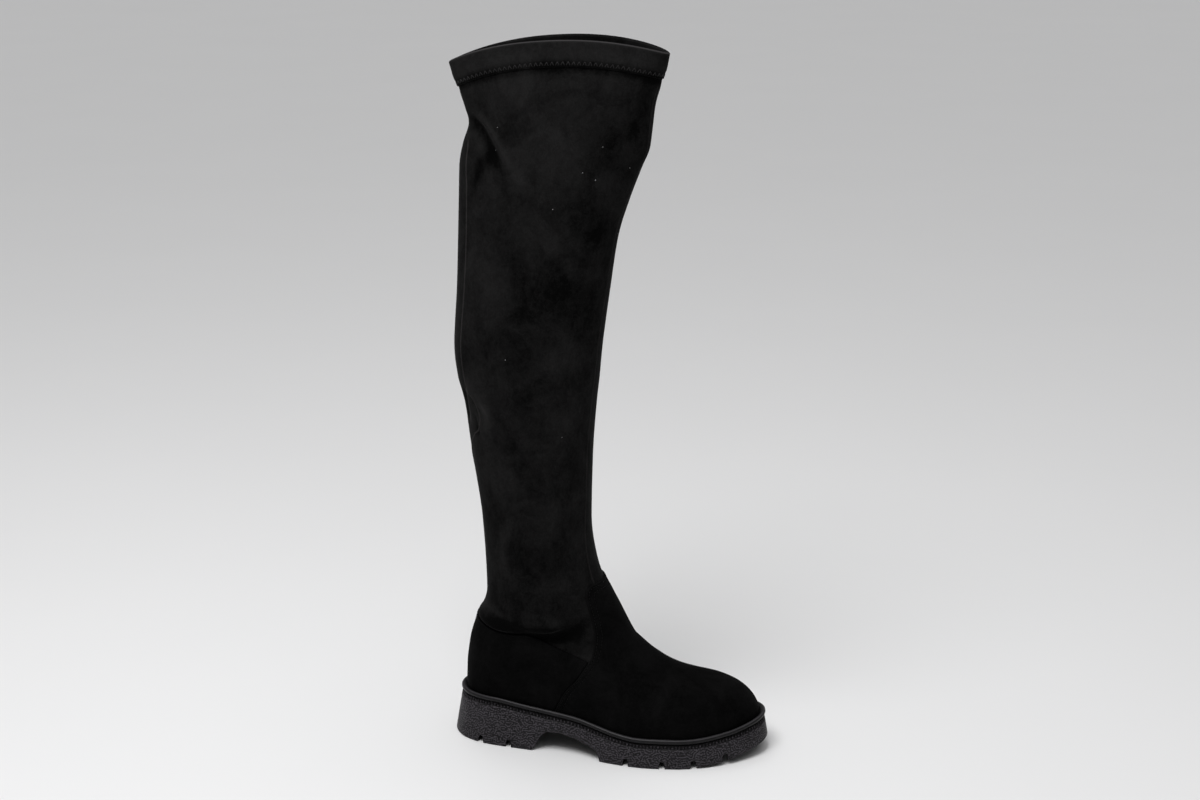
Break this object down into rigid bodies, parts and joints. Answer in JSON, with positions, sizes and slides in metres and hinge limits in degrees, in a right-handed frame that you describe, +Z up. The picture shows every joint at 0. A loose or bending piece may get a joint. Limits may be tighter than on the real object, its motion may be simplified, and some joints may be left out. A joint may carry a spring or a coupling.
{
  "type": "stretch boot",
  "caption": "Tall stretch-suede boot for the right foot, reaching over the knee, hollow and open at the collar, on a chunky rubber sole with a bead welt and grooved lugs.",
  "frame": {"origin": "bottom centre of the boot's bounding box, on the floor under the sole", "axes": "+X to the toe, +Y to the inner side of the foot, +Z up the shaft"},
  "size_m": [0.2794, 0.1102, 0.616],
  "materials": {
    "stretch_suede": "napped stretch suede, matt",
    "panel_suede": "napped suede, matt",
    "bead_rubber": "smooth satin",
    "sole_rubber": "crackled, semi-matt",
    "insole_board": "matt"
  },
  "bodies": {
    "root": {"upper": "stretch_suede", "collar_band": "stretch_suede", "vamp": "panel_suede", "counter": "panel_suede", "welt": "bead_rubber", "outsole": "sole_rubber", "insole": "insole_board"}
  },
  "joints": []
}
